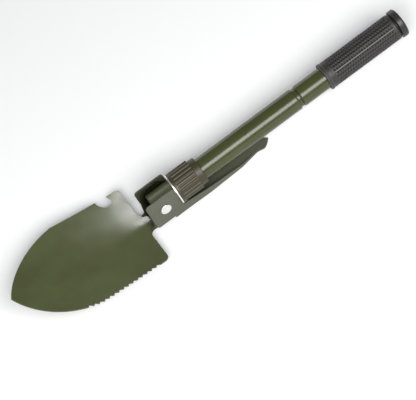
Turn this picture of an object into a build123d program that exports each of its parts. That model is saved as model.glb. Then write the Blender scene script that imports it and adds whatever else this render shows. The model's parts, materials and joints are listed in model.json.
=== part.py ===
"""Folding camp shovel: blade, pick, screw-together tube handle and compass cap.

Millimetres, +X from the blade to the grip, +Z up (the blade's digging face), Y across.
The blade and the pick fold about one rivet.  A ribbed collar on the tube pushes a washer
against the edges of the pick's two plates, which locks both.
"""
import math
import os

from build123d import *

os.makedirs("parts", exist_ok=True)

# ---------------------------------------------------------------- driving dimensions
blade_reach = 150.0        # rivet to the blade's tip
cap_reach = 257.0          # rivet to the end of the cap
pick_reach = 107.5         # rivet to the pick's tip
tip_lift = 11.0            # blade's tip above the handle's axis
rivet_drop = 1.7           # rivet axis below the handle's axis

tube_d = 20.0
tube_wall = 1.5
tube_rim_round = 1.3       # outer rim of both tubes at the joint
sheet = 1.1                # pressed sheet of the blade and the pick
side_gap = 0.12            # between faces that slide past each other at the hinge
run_gap = 0.08             # radial, a hole on the rivet or the needle on its pivot
swing_gap = 0.5            # past a swinging corner
thread_gap = 0.15          # radial, between threads that turn in each other

# hinge block and rivet
block_start = -8.2
block_flat = 1.6           # depth of the flats milled on the block's sides
block_nose_round = 1.5
block_plug = 16.0          # length of the block's plug in the tube
rivet_d = 6.0
rivet_head_lap = 2.0       # head's overhang round the shank
rivet_head_t = 0.8
bush_wall = 1.5

# washer, sleeve and collar
washer_gap = 0.1           # plates to washer
washer_lap = 0.5           # washer's rim proud of the collar
washer_t = 1.4
washer_round = 0.3
sleeve_wall = 1.2
sleeve_pitch = 3.0
sleeve_thread = 0.6
sleeve_inset = 0.5         # sleeve's end inside the collar's tail
collar_wall = 2.65
collar_lip = 2.9
collar_lip_round = 0.8
collar_rib_length = 18.5
collar_flutes = 24
flute_r = 1.25
flute_rise = 0.55          # flute's centre outside the collar's surface
collar_tail_wall = 1.05
collar_tail_length = 6.3
collar_tail_chamfer = 0.5
nut_inset = 1.0
nut_length = 10.0
nut_wall = 1.2

# blade
blade_half = 49.8          # at the widest place
widest_x = -89.0
shoulder_half = 47.0
shoulder_x = -22.2
shoulder_round = 4.5
neck_lap = 2.2             # the blade's pressed face runs this far under the yoke
neck_end = 6.0
neck_round = 5.0
web_gap = 4.6              # hinge block to the neck's web
cam_radius = 14.4          # round end of the neck's cheeks
cheek_x = 16.3             # the cheeks stay inside this, clear of the folded washer
cheek_height = 3.4
cheek_foot = 1.0
cheek_brow = 2.0
side_arc_sag = 10.0        # bulge of each side's arc from the widest place to the tip
slope_start = 0.12         # share of the lift that rises evenly, the rest curves up
root_bend = 1.2            # rise of the quick bend below the shoulders
root_bend_run = 0.22       # and the share of the face it takes
valley_height = 2.2        # dip of the face towards the neck
valley_half = 15.0         # half-width of that dip
valley_run = 0.62          # the valley runs out at this share of the face
bowl_root = 2.7            # rise of the face's sides at the shoulders
bowl_gain = 10.0           # and what it gains further on
bowl_peak = 1.1            # higher moves the deepest dish towards the tip
tooth_pitch = 4.65
tooth_depth = 2.4
tooth_count = 15
tooth_start = -31.5
tooth_slant = 0.7          # share of the pitch taken by a tooth's long side
bay_mouth = -45.4          # bottle-opener bay in the other side
bay_end = -32.6
bay_floor = 36.8
bay_depth = 10.0
bay_round = 3.2
bay_hook_round = 1.6
hook_tip = -34.4

# pick
plate_half = 14.7          # half-length of its two plates, along the handle
plate_rise = 5.7           # plates past the tube's radius
plate_corner = 3.0
pick_clearance = 3.8       # washer to the pick's web
pick_fall = 1.6            # fall of the web from the plates to the tip
pick_web_start = 20.5
pick_step_x = 3.5
rim_gap = 0.06             # washer's edge to the flanges' rim
pick_rim_end = 88.0
pick_taper_start = 42.0
pick_taper_end = 75.0
pick_taper_half = 8.9
pick_rim_half = 6.2
pick_waist_x = 92.0
pick_waist = 5.4
pick_leaf_x = 99.0
pick_leaf = 6.6

# handle
grip_length = 74.8
grip_wall = 2.6
grip_round = 1.0
grip_band = 4.5
grip_groove = 0.9          # width of the groove behind the grip's front band
grip_groove_depth = 0.5
bare_length = 29.8         # tube between the joint ring and the grip
joint_ring_inset = 1.1
joint_ring_t = 2.2
joint_washer_t = 0.8
stud_depth = 17.0
stud_bore_r = 3.5
socket_wall = 1.35
socket_extra = 4.0
spigot_length = 15.0
spigot_pitch = 2.0
spigot_thread = 0.7
thread_runout = 1.5        # plain length before a thread

# end cap and compass
cap_length = 6.0
cap_lap = 0.5              # cap's rim proud of the grip
cap_round = 1.8
cap_heel_round = 0.8
cap_stud_length = 9.0
cap_stud_thread = 0.6
cap_socket_wall = 1.85
seal_t = 1.2
seal_inset = 0.4
cap_wall = 3.1             # round the compass
compass_depth = 5.6
case_wall = 1.0
lens_t = 1.2
lens_sink = 0.4
lens_round = 0.5
dial_t = 0.5
needle_length = 15.0
needle_half = 1.65
needle_t = 0.3
needle_lift = 0.9
pivot_r = 0.6
pivot_foot_r = 1.2
pivot_point = 0.3
pivot_rise = 0.4

# ---------------------------------------------------------------- derived places
tube_r = tube_d / 2
bore_r = tube_r - tube_wall
rivet_z = -rivet_drop
block_half = tube_r - block_flat
blade_in = block_half + side_gap
blade_out = blade_in + sheet
pick_in = blade_out + side_gap
pick_out = pick_in + sheet
head_face = pick_out + side_gap
web_top = rivet_z - tube_r - web_gap

plate_tall = tube_r + plate_rise
plate_sweep = math.hypot(plate_half - plate_corner, plate_tall - plate_corner) + plate_corner
lower_tube_start = plate_sweep + swing_gap       # the flats reach past the plates' corners
sleeve_start = lower_tube_start
sleeve_r = tube_r + sleeve_wall
sleeve_bore_r = sleeve_r + thread_gap
nut_r = sleeve_bore_r + nut_wall
collar_r = sleeve_bore_r + collar_wall
collar_tail_r = sleeve_bore_r + collar_tail_wall
washer_r = collar_r + washer_lap
washer_start = plate_half + washer_gap
collar_start = washer_start + washer_t
collar_rib_start = collar_start + collar_lip
collar_tail_start = collar_rib_start + collar_rib_length
collar_end = collar_tail_start + collar_tail_length
collar_nut_start = collar_start + nut_inset
collar_nut_end = collar_nut_start + nut_length
sleeve_end = collar_end - sleeve_inset

pick_floor = washer_r + pick_clearance + sheet
pick_depth = pick_floor + pick_fall
pick_rim_start = math.sqrt(washer_r**2 - pick_in**2) + rim_gap

grip_r = tube_r + grip_wall
cap_r = grip_r + cap_lap
compass_r = cap_r - cap_wall
cap_start = cap_reach - cap_length
grip_end = cap_start - seal_t
grip_start = grip_end - grip_length
joint_ring_r = tube_r - joint_ring_inset
joint_x = grip_start - bare_length
joint_ring_end = joint_x + joint_ring_t
upper_start = joint_ring_end + joint_washer_t
spigot_r = bore_r - socket_wall - thread_gap
spigot_end = joint_ring_end + spigot_length
socket_end = spigot_end + socket_extra
cap_stud_r = bore_r - cap_socket_wall - thread_gap
cap_stud_end = cap_start - cap_stud_length
case_floor = cap_reach - compass_depth
dial_start = case_floor + case_wall
dial_top = dial_start + dial_t
needle_start = dial_top + needle_lift
pivot_top = needle_start + needle_t + pivot_rise
lens_start = cap_reach - lens_sink - lens_t

lowest = -pick_depth
middle = (cap_reach - blade_reach) / 2


# The origin is the middle of its box in X and Y, on the plane it lies on.
home = Vector(-middle, 0, -lowest)
side = Plane(origin=home, x_dir=(1, 0, 0), z_dir=(0, -1, 0))      # sketches X, Z
above = Plane(origin=home, x_dir=(1, 0, 0), z_dir=(0, 0, 1))      # sketches X, Y
across = Plane(origin=home, x_dir=(0, 1, 0), z_dir=(1, 0, 0))     # sketches Y, Z
handle_axis = Axis(home, (1, 0, 0))


def turned(profile):
    """Solid of revolution about the handle's axis from (x, radius) points."""
    with BuildPart() as body:
        with BuildSketch(side):
            with BuildLine():
                Polyline(*profile, close=True)
            make_face()
        revolve(axis=handle_axis)
    return body.part


def ring(x0, x1, outer, inner):
    """Plain ring about the handle's axis."""
    with BuildPart() as body:
        with BuildSketch(across.offset(x0)):
            Circle(outer)
            if inner:
                Circle(inner, mode=Mode.SUBTRACT)
        extrude(amount=x1 - x0)
    return body.part


def outer_rim(piece, end):
    """The widest circular edge at the blade end (0) or the cap end (-1) of a piece on the handle's axis."""
    rims = piece.edges().filter_by(GeomType.CIRCLE).group_by(Axis.X)[end]
    return rims.sort_by(SortBy.RADIUS)[-1]


def ridge_points(x0, x1, crest, depth, pitch):
    """Points of a threaded outside: crests a pitch apart, from x0 to x1."""
    turns = int((x1 - x0) / pitch)
    step = (x1 - x0) / turns
    points = []
    for i in range(turns):
        start = x0 + i * step
        points += [(start, crest - depth), (start + step / 3, crest)]
        points += [(start + step / 2, crest), (start + step * 5 / 6, crest - depth)]
    return points + [(x1, crest - depth)]


# ---------------------------------------------------------------- lower handle
with BuildPart() as lower_tube:
    add(ring(lower_tube_start, joint_x, tube_r, bore_r))
    fillet(outer_rim(lower_tube, -1), tube_rim_round)

with BuildPart() as hinge_block:
    add(ring(block_start, lower_tube_start, tube_r, 0))
    fillet(outer_rim(hinge_block, 0), block_nose_round)
    add(ring(lower_tube_start, lower_tube_start + block_plug, bore_r, 0))
    with BuildSketch(across.offset(block_start)):
        for sign in (-1, 1):
            with Locations((sign * (block_half + tube_r / 2), 0)):
                Rectangle(tube_r, 3 * tube_r)
    extrude(amount=lower_tube_start - block_start, mode=Mode.SUBTRACT)
    with BuildSketch(side):
        with Locations((0, rivet_z)):
            Circle(rivet_d / 2 + bush_wall)
    extrude(amount=tube_d, both=True, mode=Mode.SUBTRACT)

with BuildPart() as rivet_bush:
    with BuildSketch(side):
        with Locations((0, rivet_z)):
            Circle(rivet_d / 2 + bush_wall)
            Circle(rivet_d / 2, mode=Mode.SUBTRACT)
    extrude(amount=block_half + side_gap / 2, both=True)

with BuildPart() as hinge_rivet:
    with BuildSketch(side):
        with Locations((0, rivet_z)):
            Circle(rivet_d / 2)
    extrude(amount=head_face + rivet_head_t / 2, both=True)
    for sign in (-1, 1):
        with BuildSketch(side.offset(sign * head_face)):
            with Locations((0, rivet_z)):
                Circle(rivet_d / 2 + rivet_head_lap)
        extrude(amount=sign * rivet_head_t)
    for end in (0, -1):
        rim = hinge_rivet.edges().filter_by(GeomType.CIRCLE).group_by(Axis.Y)[end]
        fillet(rim, rivet_head_t * 0.6)

with BuildPart() as thread_sleeve:
    ridges = ridge_points(sleeve_start, sleeve_end, sleeve_r, sleeve_thread, sleeve_pitch)
    add(turned([(sleeve_start, tube_r)] + ridges + [(sleeve_end, tube_r)]))

with BuildPart() as joint_stud:
    add(ring(joint_x - stud_depth, joint_x, bore_r, stud_bore_r))
    add(ring(joint_x, joint_ring_end, joint_ring_r, stud_bore_r))
    ridges = ridge_points(joint_ring_end + thread_runout, spigot_end, spigot_r, spigot_thread, spigot_pitch)
    neck = [(joint_ring_end, stud_bore_r), (joint_ring_end, spigot_r - spigot_thread)]
    add(turned(neck + ridges + [(spigot_end, stud_bore_r)]))

# ---------------------------------------------------------------- washer and collar
with BuildPart() as lock_washer:
    add(ring(washer_start, collar_start, washer_r, sleeve_bore_r))
    fillet(lock_washer.edges().filter_by(GeomType.CIRCLE).group_by(SortBy.RADIUS)[-1], washer_round)

with BuildPart() as locking_collar:
    add(ring(collar_start, collar_tail_start, collar_r, sleeve_bore_r))
    fillet(outer_rim(locking_collar, 0), collar_lip_round)
    with BuildSketch(across.offset(collar_rib_start)):
        with PolarLocations(collar_r + flute_rise, collar_flutes):
            Circle(flute_r)
    extrude(amount=collar_rib_length, mode=Mode.SUBTRACT)
    add(ring(collar_tail_start, collar_end, collar_tail_r, sleeve_bore_r))
    chamfer(outer_rim(locking_collar, -1), collar_tail_chamfer)
    add(ring(collar_start, collar_nut_end, nut_r, 0), mode=Mode.SUBTRACT)

with BuildPart() as collar_nut:
    add(ring(collar_nut_start, collar_nut_end, nut_r, sleeve_bore_r))

# ---------------------------------------------------------------- blade
blade_root = shoulder_x + neck_lap


def face_height(x, y):
    """Height of the blade's digging face above the handle's axis."""
    run = max((blade_root - x) / (blade_reach + blade_root), 0.0)
    bend = root_bend * (1 - math.exp(-((run / root_bend_run) ** 2)))
    rise = (tip_lift - web_top - root_bend) * (slope_start * run + (1 - slope_start) * run**2)
    fade = max(1 - run / valley_run, 0.0)
    valley = valley_height * fade**2 * (1 - math.exp(-((y / valley_half) ** 2)))
    bowl = (bowl_root * (1 - run) + bowl_gain * run * (bowl_peak - run)) * (y / blade_half) ** 2
    return web_top + bend + rise + valley + bowl


face_grid = 3.5            # spacing of the points that the pressed face passes through
face_margin = 4.0          # the pressed face reaches this far past the outline
face_span = blade_half + face_margin
face_ends = (shoulder_x + 10, -blade_reach - face_margin)
rows = round((face_ends[0] - face_ends[1]) / face_grid)
columns = round(2 * face_span / face_grid)
face_points = []
for i in range(rows + 1):
    x = face_ends[0] + (face_ends[1] - face_ends[0]) * i / rows
    ys = [face_span * (2 * j / columns - 1) for j in range(columns + 1)]
    face_points.append([home + Vector(x, y, face_height(x, y)) for y in ys])
with BuildPart() as pressed_sheet:
    pressed_face = Face.make_surface_from_array_of_points(face_points, tol=0.02)
    extrude(pressed_face, amount=sheet, dir=(0, 0, -1))

# The curved side between the widest place and the tip is one arc.
widest = Vector(widest_x, blade_half)
tip = Vector(-blade_reach, 0)
chord = tip - widest
outward = Vector(chord.Y, -chord.X).normalized()
side_arc_r = (chord.length / 2) ** 2 / (2 * side_arc_sag) + side_arc_sag / 2
arc_mid = (widest + tip) / 2 + outward * side_arc_sag
arc_centre = arc_mid - outward * side_arc_r


def side_edge(x):
    """Half-width of the blade's plain outline from the shoulder to the tip."""
    if x < widest_x:
        return arc_centre.Y + math.sqrt(side_arc_r**2 - (x - arc_centre.X) ** 2)
    share = (shoulder_x - x) / (shoulder_x - widest_x)
    return shoulder_half + (blade_half - shoulder_half) * share


cut_over = 1.0             # cutters reach this far past the outline
bay_low = (bay_mouth + bay_end) / 2 + bay_round / 2
bay_wall = bay_floor + bay_depth / 2
bay_lip = side_edge(bay_mouth) + cut_over / 3
hook_lip = side_edge(hook_tip) + cut_over / 3
with BuildPart() as blade_blank:
    with BuildSketch(above.offset(-2 * pick_depth)) as outline:
        with BuildLine():
            Polyline(
                (neck_end, 0),
                (neck_end, blade_out),
                (shoulder_x, blade_out),
                (shoulder_x, shoulder_half),
                (widest_x, blade_half),
            )
            ThreePointArc(widest, arc_mid, tip)
            Line(tip, (neck_end, 0))
        make_face()
        inner_corner = outline.vertices().sort_by_distance((shoulder_x, blade_out))[0]
        fillet(inner_corner, neck_round)
        outer_corner = outline.vertices().sort_by_distance((shoulder_x, shoulder_half))[0]
        fillet(outer_corner, shoulder_round)
        mirror(about=Plane.XZ)
        for i in range(tooth_count):
            peak = tooth_start - i * tooth_pitch
            root = peak - tooth_pitch * tooth_slant
            after = peak - tooth_pitch
            with BuildLine():
                Polyline(
                    (peak, -side_edge(peak) - cut_over),
                    (peak, -side_edge(peak)),
                    (root, tooth_depth - side_edge(root)),
                    (after, -side_edge(after)),
                    (after, -side_edge(after) - cut_over),
                    close=True,
                )
            make_face(mode=Mode.SUBTRACT)
        with BuildLine():
            Polyline(
                (bay_end, bay_wall),
                (hook_tip, hook_lip),
                (hook_tip, blade_half + cut_over),
                (bay_mouth, blade_half + cut_over),
                (bay_mouth, bay_lip),
            )
            ThreePointArc(
                (bay_mouth, bay_lip),
                (bay_mouth + bay_round, bay_floor + bay_round),
                (bay_low, bay_floor),
            )
            ThreePointArc(
                (bay_low, bay_floor),
                (bay_end - bay_hook_round * 0.7, bay_floor + bay_hook_round),
                (bay_end, bay_wall),
            )
        make_face(mode=Mode.SUBTRACT)
    extrude(amount=4 * pick_depth)

with BuildPart() as blade_yoke:
    with BuildSketch(above.offset(web_top)):
        with Locations(((blade_root + neck_end) / 2, 0)):
            Rectangle(neck_end - blade_root, 2 * blade_out)
    extrude(amount=-sheet)
    for sign in (-1, 1):
        with BuildSketch(side.offset(sign * blade_in)):
            with BuildLine():
                Polyline(
                    (neck_end, web_top - sheet),
                    (blade_root, web_top - sheet),
                    (blade_root, web_top + cheek_foot),
                    (-cheek_x, web_top + cheek_height),
                    (-cam_radius, rivet_z + cheek_brow),
                    (neck_end, rivet_z),
                    close=True,
                )
            make_face()
            with Locations((0, rivet_z)):
                Circle(cam_radius)
                Circle(rivet_d / 2 + run_gap, mode=Mode.SUBTRACT)
        extrude(amount=sign * sheet)
    bends = blade_yoke.edges().filter_by(Axis.X).group_by(Axis.Z)[0]
    fillet(bends, sheet)

with BuildPart() as blade:
    add(pressed_sheet.part)
    add(blade_blank.part, mode=Mode.INTERSECT)
    add(blade_yoke.part)

# ---------------------------------------------------------------- pick
floor_slope = -pick_fall / (pick_reach - pick_web_start)


def pick_under(x):
    """Underside of the pick, as a height from the handle's axis."""
    return -pick_floor + floor_slope * (x - pick_web_start)


past_plate = plate_half + cut_over
pick_halves = [
    (-past_plate, pick_out),
    (pick_taper_start, pick_out),
    (pick_taper_end, pick_taper_half),
    (pick_rim_end, pick_rim_half),
]
with BuildPart() as pick_cavity:
    with BuildSketch(above.offset(-2 * pick_depth)):
        with BuildLine():
            right = [(x, half - sheet) for x, half in pick_halves]
            left = [(x, -half) for x, half in reversed(right)]
            Polyline(*right, *left, close=True)
        make_face()
    extrude(amount=4 * pick_depth)
    with BuildSketch(side):
        with BuildLine():
            Polyline(
                (-past_plate, 2 * plate_tall),
                (-past_plate, -2 * pick_depth),
                (pick_web_start, -2 * pick_depth),
                (pick_web_start, pick_under(pick_web_start) + sheet),
                (pick_reach, pick_under(pick_reach) + sheet),
                (pick_reach, 2 * plate_tall),
                close=True,
            )
        make_face()
    extrude(amount=2 * pick_out, both=True, mode=Mode.INTERSECT)

with BuildPart() as pick:
    with BuildSketch(above.offset(-2 * pick_depth)) as plan:
        with BuildLine():
            Polyline((-past_plate, 0), *pick_halves, (pick_waist_x, pick_waist))
            Spline(
                (pick_waist_x, pick_waist),
                (pick_leaf_x, pick_leaf),
                (pick_reach, 0),
                tangents=[(1, 0), (0.62, -0.78)],
            )
            Line((pick_reach, 0), (-past_plate, 0))
        make_face()
        mirror(about=Plane.XZ)
    extrude(amount=4 * pick_depth)
    with BuildSketch(side) as profile:
        with Locations((0, rivet_z)):
            RectangleRounded(2 * plate_half, 2 * plate_tall, plate_corner)
        with BuildLine():
            Polyline(
                (pick_step_x, rivet_z),
                (pick_step_x, pick_under(pick_web_start)),
                (pick_web_start, pick_under(pick_web_start)),
                (pick_reach, pick_under(pick_reach)),
                (pick_reach, pick_under(pick_reach) + sheet),
                (pick_rim_end, pick_under(pick_rim_end) + sheet),
                (plate_half, -pick_rim_start),
                (plate_half, rivet_z),
                close=True,
            )
        make_face()
        with Locations((0, rivet_z)):
            Circle(rivet_d / 2 + run_gap, mode=Mode.SUBTRACT)
    extrude(amount=2 * pick_out, both=True, mode=Mode.INTERSECT)
    add(pick_cavity.part, mode=Mode.SUBTRACT)

# ---------------------------------------------------------------- upper handle
with BuildPart() as joint_washer:
    add(ring(joint_ring_end, upper_start, joint_ring_r, spigot_r + thread_gap))

with BuildPart() as upper_tube:
    add(ring(upper_start, grip_end, tube_r, bore_r))
    fillet(outer_rim(upper_tube, 0), tube_rim_round)

with BuildPart() as joint_socket:
    add(ring(upper_start, socket_end, bore_r, spigot_r + thread_gap))

with BuildPart() as grip:
    add(ring(grip_start, grip_end, grip_r, tube_r))
    fillet([outer_rim(grip, 0), outer_rim(grip, -1)], grip_round)
    with BuildSketch(across.offset(grip_start + grip_band)):
        Circle(grip_r + cut_over)
        Circle(grip_r - grip_groove_depth, mode=Mode.SUBTRACT)
    extrude(amount=grip_groove, mode=Mode.SUBTRACT)

with BuildPart() as cap_socket:
    add(ring(cap_stud_end - thread_runout, grip_end, bore_r, cap_stud_r + thread_gap))

with BuildPart() as cap_seal:
    with BuildSketch(side):
        with Locations(((grip_end + cap_start) / 2, tube_r - seal_inset)):
            Circle(seal_t / 2)
    revolve(axis=handle_axis)

# ---------------------------------------------------------------- end cap with compass
with BuildPart() as end_cap:
    add(ring(cap_start, cap_reach, cap_r, 0))
    fillet(outer_rim(end_cap, -1), cap_round)
    fillet(outer_rim(end_cap, 0), cap_heel_round)
    ridges = ridge_points(cap_stud_end, cap_start - thread_runout, cap_stud_r, cap_stud_thread, spigot_pitch)
    heel = [(cap_start, cap_stud_r - cap_stud_thread), (cap_start, 0)]
    add(turned([(cap_stud_end, 0)] + ridges + heel))
    add(ring(case_floor, cap_reach, compass_r, 0), mode=Mode.SUBTRACT)

with BuildPart() as compass_case:
    add(ring(case_floor, lens_start, compass_r, 0))
    add(ring(dial_start, lens_start, compass_r - case_wall, 0), mode=Mode.SUBTRACT)

with BuildPart() as compass_dial:
    add(ring(dial_start, dial_top, compass_r - case_wall, 0))

with BuildPart() as compass_pivot:
    foot = [(dial_top, 0), (dial_top, pivot_foot_r), (dial_top + pivot_foot_r / 2, pivot_r)]
    add(turned(foot + [(pivot_top - pivot_point, pivot_r), (pivot_top, 0)]))

with BuildPart() as compass_needle:
    with BuildSketch(across.offset(needle_start)):
        with BuildLine():
            Polyline(
                (needle_length / 2, 0),
                (0, needle_half),
                (-needle_length / 2, 0),
                (0, -needle_half),
                close=True,
            )
        make_face()
        Circle(pivot_r + run_gap, mode=Mode.SUBTRACT)
    extrude(amount=needle_t)

with BuildPart() as compass_lens:
    add(ring(lens_start, lens_start + lens_t, compass_r, 0))
    fillet(outer_rim(compass_lens, -1), lens_round)

# ---------------------------------------------------------------- hand out the pieces
pieces = {
    "lower_tube": lower_tube,
    "hinge_block": hinge_block,
    "rivet_bush": rivet_bush,
    "hinge_rivet": hinge_rivet,
    "thread_sleeve": thread_sleeve,
    "joint_stud": joint_stud,
    "blade": blade,
    "pick": pick,
    "lock_washer": lock_washer,
    "locking_collar": locking_collar,
    "collar_nut": collar_nut,
    "joint_washer": joint_washer,
    "joint_socket": joint_socket,
    "upper_tube": upper_tube,
    "grip": grip,
    "cap_socket": cap_socket,
    "cap_seal": cap_seal,
    "end_cap": end_cap,
    "compass_case": compass_case,
    "compass_dial": compass_dial,
    "compass_pivot": compass_pivot,
    "compass_needle": compass_needle,
    "compass_lens": compass_lens,
}
for label, piece in pieces.items():
    piece.part.label = label
    export_step(piece.part, f"parts/{label}.step")
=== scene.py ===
"""Looks of the folding camp shovel: finishes, moulded grip, compass dial, floor, lights and camera."""
import json
import math

import bpy
from mathutils import Matrix, Vector


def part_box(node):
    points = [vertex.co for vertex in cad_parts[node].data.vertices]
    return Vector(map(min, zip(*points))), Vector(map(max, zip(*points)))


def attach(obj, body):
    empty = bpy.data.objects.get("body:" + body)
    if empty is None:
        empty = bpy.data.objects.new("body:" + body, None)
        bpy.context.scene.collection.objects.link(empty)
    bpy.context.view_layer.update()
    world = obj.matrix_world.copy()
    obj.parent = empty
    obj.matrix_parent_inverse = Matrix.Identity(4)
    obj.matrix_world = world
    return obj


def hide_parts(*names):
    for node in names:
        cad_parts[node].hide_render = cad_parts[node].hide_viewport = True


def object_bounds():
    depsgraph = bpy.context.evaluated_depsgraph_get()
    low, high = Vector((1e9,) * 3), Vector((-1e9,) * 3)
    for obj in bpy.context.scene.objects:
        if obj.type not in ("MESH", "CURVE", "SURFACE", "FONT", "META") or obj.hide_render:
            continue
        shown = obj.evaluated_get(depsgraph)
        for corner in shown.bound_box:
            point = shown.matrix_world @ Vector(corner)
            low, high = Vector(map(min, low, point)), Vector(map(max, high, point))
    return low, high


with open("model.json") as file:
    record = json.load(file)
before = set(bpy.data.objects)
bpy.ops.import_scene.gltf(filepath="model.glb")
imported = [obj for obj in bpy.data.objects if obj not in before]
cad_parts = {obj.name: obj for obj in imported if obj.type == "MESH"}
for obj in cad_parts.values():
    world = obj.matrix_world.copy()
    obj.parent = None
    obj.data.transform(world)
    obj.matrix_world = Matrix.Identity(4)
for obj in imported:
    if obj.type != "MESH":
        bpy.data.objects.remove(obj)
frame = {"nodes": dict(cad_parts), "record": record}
cad_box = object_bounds()

MM = 0.001
nodes = frame["nodes"]
joints = {joint["name"]: joint for joint in frame["record"]["behaviour"]["joints"]}
pin = Vector(joints["blade_fold"]["pos_m"])                 # hinge rivet's middle
handle_z = Vector(joints["handle_turn"]["pos_m"]).z         # height of the handle's axis


def linear(code):
    """Linear colour of a hexadecimal display colour."""
    parts = [int(code[i:i + 2], 16) / 255 for i in (0, 2, 4)]
    return tuple(p / 12.92 if p <= 0.04045 else ((p + 0.055) / 1.055) ** 2.4 for p in parts) + (1.0,)


# ---------------------------------------------------------------- materials
class Finish:
    """A material and short calls for the nodes that it is made of."""

    edge_turn = (0.97, 0.80)      # cosine of the rounded normal's turn: an edge starts, and is full
    shade_sky_share = (0.94, 0.72)    # share of open sky: painted shade starts, and is full
    # samples for the rounded edges, and for the painted shade in folds and channels
    edge_samples, recess_samples = 6, 8

    def __init__(self, name, **sockets):
        self.material = bpy.data.materials.new(name)
        self.material.use_nodes = True
        self.tree = self.material.node_tree
        self.shader = self.tree.nodes["Principled BSDF"]
        for socket, value in sockets.items():
            self.shader.inputs[socket.replace("_", " ").title().replace("Ior", "IOR")].default_value = value
        self.place = self.node("ShaderNodeTexCoord").outputs["Object"]

    def node(self, kind, inputs=None, **settings):
        """A new node with its settings and its inputs, which are values or other nodes' outputs."""
        made = self.tree.nodes.new(kind)
        for key, value in settings.items():
            setattr(made, key, value)
        for key, value in (inputs or {}).items():
            self.feed(made.inputs[key], value)
        return made

    def feed(self, socket, value):
        """Link an output to a socket, or set the socket's value."""
        if isinstance(value, bpy.types.NodeSocket):
            self.tree.links.new(value, socket)
        else:
            socket.default_value = value

    def noise(self, size, detail=3.0, stretch=(1, 1, 1)):
        """Noise, 0 to 1, with features about size metres across; stretch lengthens them along an axis."""
        scale = [1 / (size * s) for s in stretch]
        placed = self.node("ShaderNodeMapping", {"Vector": self.place, "Scale": scale}).outputs[0]
        return self.node("ShaderNodeTexNoise", {"Vector": placed, "Scale": 1.0, "Detail": detail}).outputs[0]

    def spread(self, value, low, high, to_low=0.0, to_high=1.0):
        """value's stretch from low to high, mapped to to_low..to_high and held at the ends."""
        inputs = {"Value": value, "From Min": low, "From Max": high, "To Min": to_low, "To Max": to_high}
        return self.node("ShaderNodeMapRange", inputs).outputs[0]

    def sum(self, a, b, operation="ADD"):
        """a and b combined."""
        return self.node("ShaderNodeMath", {0: a, 1: b}, operation=operation).outputs[0]

    def mix(self, share, a, b):
        """Colour a turning into colour b."""
        made = self.node("ShaderNodeMix", data_type="RGBA")
        for socket, value in ((made.inputs[0], share), (made.inputs[6], a), (made.inputs[7], b)):
            self.feed(socket, value)
        return made.outputs[2]

    def soft_edges(self, radius):
        """The surface's normal with its sharp edges rounded, and a mask that is 1 on those edges."""
        rounded = self.node("ShaderNodeBevel", {"Radius": radius}, samples=self.edge_samples).outputs[0]
        true = self.node("ShaderNodeNewGeometry").outputs["True Normal"]
        turn = self.node("ShaderNodeVectorMath", {0: rounded, 1: true}, operation="DOT_PRODUCT")
        return rounded, self.spread(turn.outputs["Value"], *self.edge_turn)

    def recess(self, reach, alone):
        """Painted shade: 1 deep inside folds and channels, 0 in the open; alone leaves out what the other
        pieces cover.
        """
        settings = {"samples": self.recess_samples, "only_local": alone}
        seen = self.node("ShaderNodeAmbientOcclusion", {"Distance": reach}, **settings).outputs["AO"]
        return self.spread(seen, *self.shade_sky_share)

    def dress(self, colour=None, roughness=None, height=None, depth=0.0, normal=None):
        """Feed the shader: colour, roughness, and a bump of that depth in metres over the normal."""
        if colour is not None:
            self.feed(self.shader.inputs["Base Color"], colour)
        if roughness is not None:
            self.feed(self.shader.inputs["Roughness"], roughness)
        if height is not None:
            inputs = {"Height": height, "Distance": depth, "Strength": 1.0}
            if normal is not None:
                inputs["Normal"] = normal
            normal = self.node("ShaderNodeBump", inputs).outputs[0]
        if normal is not None:
            self.feed(self.shader.inputs["Normal"], normal)
        return self.material


def painted(name, colour, worn, gloss, wear=0.5, peel=0.9 * MM, round_to=0.35 * MM,
            recess=None, reach=25 * MM, alone=True):
    """Sprayed paint on steel: slight clouding, orange peel, rubbed thin on the edges, painted shade
    darkening a recess.
    """
    darker, lighter, speckled = 0.86, 1.12, 0.12      # of the base colour; share of the fine specks
    least_wear, gloss_range = 0.15, 0.02
    peel_depth = 0.008 * MM
    paint = Finish(name, ior=1.5)
    cloud = paint.spread(paint.noise(30 * MM), 0.3, 0.7)
    speck = paint.spread(paint.noise(0.5 * MM, 1.0), 0.35, 0.65)
    base = linear(colour)
    dark = tuple(c * darker for c in base[:3]) + (1.0,)
    light = tuple(min(c * lighter, 1.0) for c in base[:3]) + (1.0,)
    skin = paint.mix(cloud, dark, light)
    skin = paint.mix(paint.sum(speck, speckled, "MULTIPLY"), skin, dark)
    rounded, edge = paint.soft_edges(round_to)
    patchy = paint.spread(paint.noise(4 * MM, 4.0), 0.42, 0.62, least_wear, wear)
    skin = paint.mix(paint.sum(edge, patchy, "MULTIPLY"), skin, linear(worn))
    # painted shade: folds and channels darkened towards the given dark colour
    if recess:
        skin = paint.mix(paint.recess(reach, alone), skin, linear(recess))
    rough = paint.spread(paint.noise(12 * MM, 3.0), 0.3, 0.7, gloss - gloss_range, gloss + gloss_range)
    return paint.dress(skin, rough, paint.noise(peel, 2.0), peel_depth, rounded)


def plated(name, colour, gloss, brush=(1, 1, 1), tint="8d8a80"):
    """Plated or turned metal: fine tool lines, faint tarnish."""
    tarnished = 0.3
    edge_radius, line_depth = 0.25 * MM, 0.004 * MM
    metal = Finish(name, metallic=1.0)
    tarnish = metal.spread(metal.noise(5 * MM, 4.0), 0.5, 0.8, 0.0, tarnished)
    lines = metal.noise(0.35 * MM, 2.0, brush)
    rounded, _ = metal.soft_edges(edge_radius)
    rough = metal.spread(lines, 0.3, 0.7, gloss - 0.05, gloss + 0.08)
    return metal.dress(metal.mix(tarnish, linear(colour), linear(tint)), rough, lines, line_depth, rounded)


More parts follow.
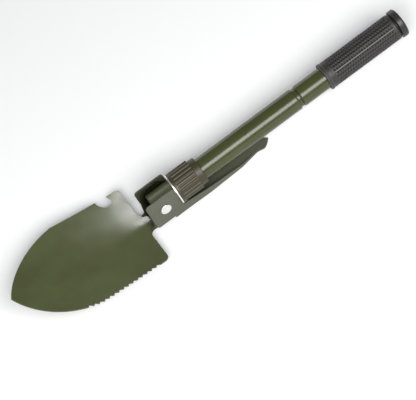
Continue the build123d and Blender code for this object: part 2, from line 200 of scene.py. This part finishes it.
def moulded(name, colour, gloss, dust, grain=0.35 * MM, depth=0.02 * MM):
    """Moulded rubber or plastic: fine grain, a little dust, paler on the rubbed edges."""
    edge_radius, edge_rub = 0.3 * MM, 0.2
    dust_colour, rubbed_colour = linear("6e6a64"), linear("7a7671")
    body = Finish(name, ior=1.5)
    rounded, edge = body.soft_edges(edge_radius)
    film = body.spread(body.noise(14 * MM, 5.0), 0.35, 0.75, 0.0, dust)
    skin = body.mix(film, linear(colour), dust_colour)
    skin = body.mix(body.sum(edge, edge_rub, "MULTIPLY"), skin, rubbed_colour)
    rough = body.spread(body.noise(6 * MM, 3.0), 0.3, 0.7, gloss - 0.05, gloss + 0.07)
    return body.dress(skin, rough, body.noise(grain, 1.0), depth, rounded)


def grip_rubber(inner, outer):
    """Grip rubber: dark down in the dimples from dirt and painted shade, dusty on top, palest along the
    raised parting lines.
    """
    dimple_dirt_and_shade, rubber_colour = linear("0c0b0b"), linear("231f1f")
    dust_colour, line_colour = linear("353130"), linear("6a6562")
    rubber = Finish("grip_rubber", ior=1.48)
    inputs = {"Vector": rubber.place, "Location": (0, 0, -handle_z), "Scale": (0, 1, 1)}
    across = rubber.node("ShaderNodeMapping", inputs).outputs[0]
    radius = rubber.node("ShaderNodeVectorMath", {0: across}, operation="LENGTH").outputs["Value"]
    top = rubber.spread(radius, inner, outer)
    film = rubber.spread(rubber.noise(12 * MM, 5.0), 0.3, 0.75, 0.25, 0.6)
    # dimples darkened: dirt and painted shade in the hollows
    skin = rubber.mix(top, dimple_dirt_and_shade, rubber.mix(film, rubber_colour, dust_colour))
    above = rubber.spread(radius, outer + 0.04 * MM, outer + 0.18 * MM)
    below_lip = rubber.spread(radius, outer + 0.26 * MM, outer + 0.34 * MM, 1.0, 0.0)
    skin = rubber.mix(rubber.sum(above, below_lip, "MULTIPLY"), skin, line_colour)
    rough = rubber.spread(rubber.noise(5 * MM, 3.0), 0.3, 0.7, 0.44, 0.56)
    return rubber.dress(skin, rough, rubber.noise(0.3 * MM, 1.0), 0.015 * MM)


def clear_lens():
    """Clear moulded window with hairline scratches."""
    lens = Finish("lens_clear", ior=1.49, transmission_weight=1.0)
    scratch = lens.spread(lens.noise(0.6 * MM, 2.0, (1, 12, 1)), 0.62, 0.75, 0.02, 0.16)
    return lens.dress(linear("eef4f2"), scratch)


def printed_card():
    """Off-white dial card with a faint fibre."""
    card = Finish("dial_card", ior=1.45)
    fibre = card.noise(0.8 * MM, 5.0, (1, 3, 1))
    skin = card.mix(fibre, linear("e9e5d8"), linear("d5d0c0"))
    return card.dress(skin, card.spread(fibre, 0.3, 0.7, 0.5, 0.7))


def floor_finish():
    """Matt pale studio floor."""
    board = Finish("studio_floor")
    cloud = board.noise(0.4, 2.0)
    skin = board.mix(cloud, (0.94, 0.94, 0.94, 1), (0.95, 0.95, 0.95, 1))
    return board.dress(skin, board.spread(cloud, 0, 1, 0.85, 0.95))


finishes = {
    # blade and pick: the dark second colour is painted shade in folds, channels and where the pieces close
    # in
    "blade_paint": painted("blade_paint", "464b2e", "8f9080", 0.18,
                           recess="12140b", reach=15 * MM, alone=False),
    # the pick's paint is made greyer than the blade's as a painted reflection of the pale floor
    "pick_paint": painted("pick_paint", "4a4c3e", "9b9b90", 0.34, recess="12130c"),
    "tube_paint": painted("tube_paint", "3b3f20", "80826a", 0.23, wear=0.35),
    "block_paint": painted("block_paint", "3a3e24", "80826a", 0.42, wear=0.35),
    "collar_finish": painted("collar_finish", "332e17", "7d7450", 0.46, wear=0.5),
    "zinc_plate": plated("zinc_plate", "eae8e4", 0.40, tint="d2cec6"),
    "bare_steel": plated("bare_steel", "a5a5a2", 0.30, brush=(1, 8, 8)),
    "bronze": plated("bronze", "b9954f", 0.28, brush=(1, 8, 8), tint="7d6a41"),
    "cap_plastic": moulded("cap_plastic", "161616", 0.36, 0.10),
    "seal_rubber": moulded("seal_rubber", "101010", 0.40, 0.15),
    "dial_white": printed_card(),
    "needle_red": painted("needle_red", "b3261e", "d8d4cc", 0.3, peel=0.3 * MM, round_to=0.05 * MM),
    "lens_clear": clear_lens(),
}
slot_of = {part["node"]: part["material_slot"] for part in frame["record"]["subparts"]}
own_finish = {"cap_seal": "seal_rubber", "hinge_block": "block_paint"}    # unlike the rest of the slot


def dress_nodes():
    """Give every carried-over node its finish; hidden pieces in the grip's slot are plain rubber."""
    for name, piece in nodes.items():
        finish = own_finish.get(name, slot_of[name])
        for material_slot in piece.material_slots:
            material_slot.material = finishes.get(finish, finishes["seal_rubber"])


# ---------------------------------------------------------------- meshes
def new_piece(name, verts, faces, material, body, smooth=True):
    """A mesh piece in the row frame that rides on a body."""
    mesh = bpy.data.meshes.new(name)
    mesh.from_pydata(verts, [], faces)
    mesh.validate()
    mesh.polygons.foreach_set("use_smooth", [smooth] * len(mesh.polygons))
    mesh.materials.append(material)
    piece = bpy.data.objects.new(name, mesh)
    bpy.context.scene.collection.objects.link(piece)
    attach(piece, body)
    return piece


def smooth_step(value):
    """0 below 0, 1 above 1, smooth between."""
    value = min(max(value, 0.0), 1.0)
    return value * value * (3 - 2 * value)


def moulded_grip():
    """Rubber sleeve: a lip in front, rows of dimples between plain bands, two raised parting lines."""
    low, high = (Vector(corner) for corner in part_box("grip"))
    length = high.x - low.x
    outer = (high.y - low.y) / 2
    tube_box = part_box("upper_tube")
    inner = (tube_box[1][1] - tube_box[0][1]) / 2
    front_band, back_band = 8.6 * MM, 3.0 * MM
    lip_width, lip_rise = 2.3 * MM, 0.5 * MM    # collar at the grip's front end
    edge_round = 1.3 * MM
    dimple_depth = 0.75 * MM
    rows, dimples = 22, 24
    pit_long, pit_wide = 0.37, 0.34             # half a dimple's opening, as a share of its pitch
    pit_slope, pit_corner = 2.4, 3              # steepness of its walls; power that squares its corners
    seam_half, seam_rise = 0.055, 0.22 * MM     # half-angle and height of a parting line
    seam_slope = 1.5
    seam_angle = math.radians(-47)

    def radius(x, angle):
        """Outside radius at x along the sleeve and an angle about it."""
        end = min(x, length - x)
        r = outer - lip_rise * smooth_step((x - lip_width) / MM)
        if end < edge_round:
            r -= edge_round - math.sqrt(edge_round**2 - (edge_round - end) ** 2)
        inside = smooth_step((x - front_band) / MM) * smooth_step((length - back_band - x) / MM)
        seam = abs(math.remainder(angle - seam_angle, math.pi))
        r += seam_rise * inside * smooth_step((seam_half - seam) / seam_half * seam_slope)
        around = (angle - seam_angle) / (2 * math.pi) * rows + 0.5
        row = round(around)
        along = (x - front_band) / (length - front_band - back_band) * dimples + 0.5 * (row % 2)
        u, v = abs(along - round(along)) / pit_long, abs(around - row) / pit_wide
        pit = smooth_step((1 - (u**pit_corner + v**pit_corner) ** (1 / pit_corner)) * pit_slope)
        return r - dimple_depth * pit * inside

    steps_x, steps_around = 192, 220
    verts = []
    for i in range(steps_x + 1):
        x = length * i / steps_x
        for j in range(steps_around):
            angle = 2 * math.pi * j / steps_around
            r = radius(x, angle)
            verts.append((low.x + x, r * math.sin(angle), handle_z + r * math.cos(angle)))
    for x in (high.x, low.x):
        for j in range(steps_around):
            angle = 2 * math.pi * j / steps_around
            verts.append((x, inner * math.sin(angle), handle_z + inner * math.cos(angle)))
    rings = len(verts) // steps_around          # those of the outside, and two for the bore
    faces = []
    for i in range(rings):
        a, b = i * steps_around, ((i + 1) % rings) * steps_around
        for j in range(steps_around):
            k = (j + 1) % steps_around
            faces.append((a + j, b + j, b + k, a + k))
    finish = grip_rubber(outer - lip_rise - dimple_depth, outer - lip_rise)
    grip = new_piece("grip_sleeve", verts, faces, finish, "upper_handle")
    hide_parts("grip")


def dial_marks():
    """Printed marks of the compass: a ring of degree ticks and a four-point star."""
    low, high = (Vector(corner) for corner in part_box("compass_dial"))
    reach = (high.y - low.y) / 2
    face = high.x
    lift = 0.06 * MM                              # thickness of the ink
    ticks, rim = 36, 0.96                         # the ticks' outer end, as a share of the dial's radius
    major_tick, minor_tick = (0.22 * MM, 0.74), (0.1 * MM, 0.85)    # half-width, and where the inner end is
    star_waist = 0.5 * MM
    star_foot, star_shoulder, star_tip = 0.20, 0.26, 0.66
    ink = moulded("dial_ink", "1c1c1e", 0.5, 0.0, depth=0.0)
    verts, faces = [], []

    def prism(outline):
        """A thin printed patch from (y, z) points about the dial's middle."""
        start, count = len(verts), len(outline)
        for x in (face, face + lift):
            verts.extend((x, y, handle_z + z) for y, z in outline)
        faces.append(tuple(start + i for i in reversed(range(count))))
        faces.append(tuple(start + count + i for i in range(count)))
        for i in range(count):
            j = (i + 1) % count
            faces.append((start + i, start + j, start + count + j, start + count + i))

    for i in range(ticks):
        half, start = major_tick if i % (ticks // 4) == 0 else minor_tick
        near, far = reach * start, reach * rim
        turn = Matrix.Rotation(2 * math.pi * i / ticks, 2)
        corners = ((near, -half), (far, -half), (far, half), (near, half))
        prism([tuple(turn @ Vector(corner)) for corner in corners])
    foot, shoulder, tip = reach * star_foot, reach * star_shoulder, reach * star_tip
    for i in range(4):
        turn = Matrix.Rotation(math.pi / 2 * i, 2)
        corners = ((foot, 0.0), (shoulder, -star_waist), (tip, 0.0), (shoulder, star_waist))
        prism([tuple(turn @ Vector(corner)) for corner in corners])
    new_piece("dial_marks", verts, faces, ink, "cap", smooth=False)


# ---------------------------------------------------------------- studio
def toward(azimuth, elevation):
    """Unit direction from the object; azimuth 0 is in front of it, at -Y."""
    a, e = math.radians(azimuth), math.radians(elevation)
    return Vector((math.sin(a) * math.cos(e), -math.cos(a) * math.cos(e), math.sin(e)))


def softbox(name, size, radiance, direction, distance, target, only=()):
    """A rectangular light that faces target; only lists the pieces it lights, if not all."""
    place = target + direction * distance
    light = bpy.data.lights.new(name, "AREA")
    light.shape = "RECTANGLE"
    light.size, light.size_y = size
    light.energy = radiance * math.pi * size[0] * size[1]
    lamp = bpy.data.objects.new(name, light)
    lamp.location = place
    lamp.rotation_euler = (target - place).to_track_quat("-Z", "Y").to_euler()
    lamp.visible_camera = False
    bpy.context.scene.collection.objects.link(lamp)
    if only:
        lamp.light_linking.receiver_collection = bpy.data.collections.new(name + "_lit")
    for piece in only:
        lamp.light_linking.receiver_collection.objects.link(piece)


def studio():
    """Floor, surround and lights."""
    half, below = 4.0, 0.1 * MM
    mesh = bpy.data.meshes.new("floor")
    floor_z = cad_box[0][2] - below
    corners = ((-half, -half), (half, -half), (half, half), (-half, half))
    mesh.from_pydata([(x, y, floor_z) for x, y in corners], [], [(0, 1, 2, 3)])
    mesh.materials.append(floor_finish())
    floor = bpy.data.objects.new("floor", mesh)
    bpy.context.scene.collection.objects.link(floor)

    world = bpy.data.worlds.new("surround")
    world.use_nodes = True
    surround = world.node_tree.nodes["Background"]
    surround.inputs["Color"].default_value = (0.95, 0.97, 1.0, 1.0)
    surround.inputs["Strength"].default_value = 0.20
    bpy.context.scene.world = world

    middle = Vector((0, 0, handle_z))
    shoulder = pin + Vector((-34, 38, -16)) * MM      # far corner of the blade
    softbox("key", (2.0, 0.95), 9.0, toward(-4, 42), 1.8, middle)
    lit = (nodes["blade"], nodes["hinge_block"])
    softbox("rim", (0.47, 0.26), 13.5, toward(183, 64), 1.5, shoulder, lit)
    softbox("back", (3.0, 0.9), 1.5, toward(180, 15), 2.0, middle)


def camera():
    """Long lens above the near side, rolled so that the handle climbs to the upper right."""
    azimuth, elevation, roll = -4.52, 51.6, -33.05
    distance, lens = 1.6, 165.0
    target = pin + Vector((32.4, -31.4, 1.7)) * MM
    back = toward(azimuth, elevation)
    a, r = math.radians(azimuth), math.radians(roll)
    level = Vector((math.cos(a), math.sin(a), 0))
    upward = back.cross(level)
    right = level * math.cos(r) + upward * math.sin(r)
    up = upward * math.cos(r) - level * math.sin(r)
    data = bpy.data.cameras.new("camera")
    data.lens = lens
    data.sensor_width = 36.0
    data.clip_start = 0.01
    view = bpy.data.objects.new("camera", data)
    facing = Matrix((right, up, back)).transposed().to_4x4()
    view.matrix_world = Matrix.Translation(target + back * distance) @ facing
    bpy.context.scene.collection.objects.link(view)
    bpy.context.scene.camera = view


dress_nodes()
moulded_grip()
dial_marks()
studio()
camera()
bpy.context.scene.view_settings.view_transform = "Standard"
